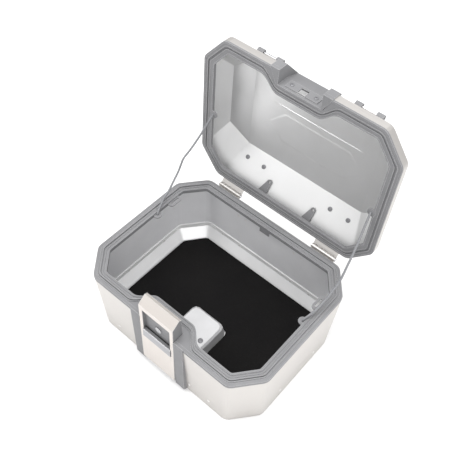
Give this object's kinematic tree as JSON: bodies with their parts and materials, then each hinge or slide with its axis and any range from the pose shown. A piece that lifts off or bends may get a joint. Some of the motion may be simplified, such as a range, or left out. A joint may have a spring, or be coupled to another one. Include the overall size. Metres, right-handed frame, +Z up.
{
  "type": "motorcycle top case",
  "caption": "Hard motorcycle top case with folded aluminium shells, plastic rims, hinged lid on check cords, tie-down loops, push-in lid seal and a keyed front latch.",
  "frame": {"origin": "centre of the flat underside of the base", "axes": "+X to the right seen from the latch side, -Y the latch side, +Y the hinge side, +Z up; the lid stands open at rest"},
  "size_m": [0.5, 0.5137, 0.5933],
  "materials": {
    "shell": "fine brushed",
    "pale": "satin",
    "trim": "fine grain",
    "cover": "satin",
    "cover_plastic": "fine grain",
    "steel": "satin",
    "dark_screw": "satin black",
    "mat": "fine speckle",
    "seal": "matte",
    "cord": "braided"
  },
  "bodies": {
    "base": {"base_shell": "shell", "base_floor": "pale", "base_rim": "trim", "floor_mat": "mat", "floor_rivets": "steel", "rear_rivets": "steel", "dock_frame": "steel", "dock_spring": "steel", "dock_cover": "cover_plastic", "dock_screws": "dark_screw", "latch_housing": "trim", "latch_cover": "cover", "latch_bolts": "steel", "lever_pin": "steel", "lever_spring": "steel", "hook_pin": "steel", "hook_spring": "steel", "lock_barrel": "steel", "hinge_base_leaves": "steel", "hinge_pins": "steel", "hinge_base_rivets": "steel", "strap_eyes": "trim", "check_cord_left": "cord", "check_cord_right": "cord", "cord_stops_base": "steel"},
    "lid": {"lid_shell": "shell", "lid_rim": "trim", "lid_seal": "seal", "latch_pod": "trim", "latch_keeper": "steel", "keeper_screws": "dark_screw", "loop_feet_front": "trim", "loop_feet_rear": "trim", "loop_bars_front": "steel", "loop_bars_rear": "steel", "loop_screws_front": "dark_screw", "loop_screws_rear": "dark_screw", "hinge_lid_leaves": "steel", "hinge_lid_rivets": "steel", "cord_stops_lid": "steel"},
    "lever": {"release_lever": "trim", "lever_plate": "steel"},
    "hook": {"latch_hook": "steel"},
    "lock": {"lock_rotor": "steel", "lock_cam": "steel"},
    "catch": {"dock_catch": "steel"}
  },
  "joints": [
    {"name": "lid_hinge", "type": "hinge", "parent": "base", "child": "lid", "pos_m": [0, 0.209, 0.188], "axis": [1, 0, 0], "range_deg": [0, 92], "deforming": ["check_cord_left", "check_cord_right"]},
    {"name": "lever_hinge", "type": "hinge", "parent": "base", "child": "lever", "pos_m": [0, -0.191, 0.134], "axis": [1, 0, 0], "range_deg": [0, 35], "stiffness_Nm_per_rad": 0.05, "springref_deg": -28.65},
    {"name": "hook_hinge", "type": "hinge", "parent": "base", "child": "hook", "pos_m": [0, -0.173, 0.178], "axis": [1, 0, 0], "range_deg": [0, 10], "deforming": ["hook_spring"]},
    {"name": "lock_turn", "type": "hinge", "parent": "base", "child": "lock", "pos_m": [0, -0.186, 0.184], "axis": [0, 1, 0], "range_deg": [0, 90]},
    {"name": "catch_slide", "type": "slide", "parent": "base", "child": "catch", "axis": [0, -1, 0], "range_m": [0, 0.008], "stiffness_N_per_m": 300, "springref_m": -0.01, "deforming": ["dock_spring"]}
  ],
  "couplings": [
    {"joint": "hook_hinge", "follows": "lever_hinge", "ratio": 0.28571}
  ]
}
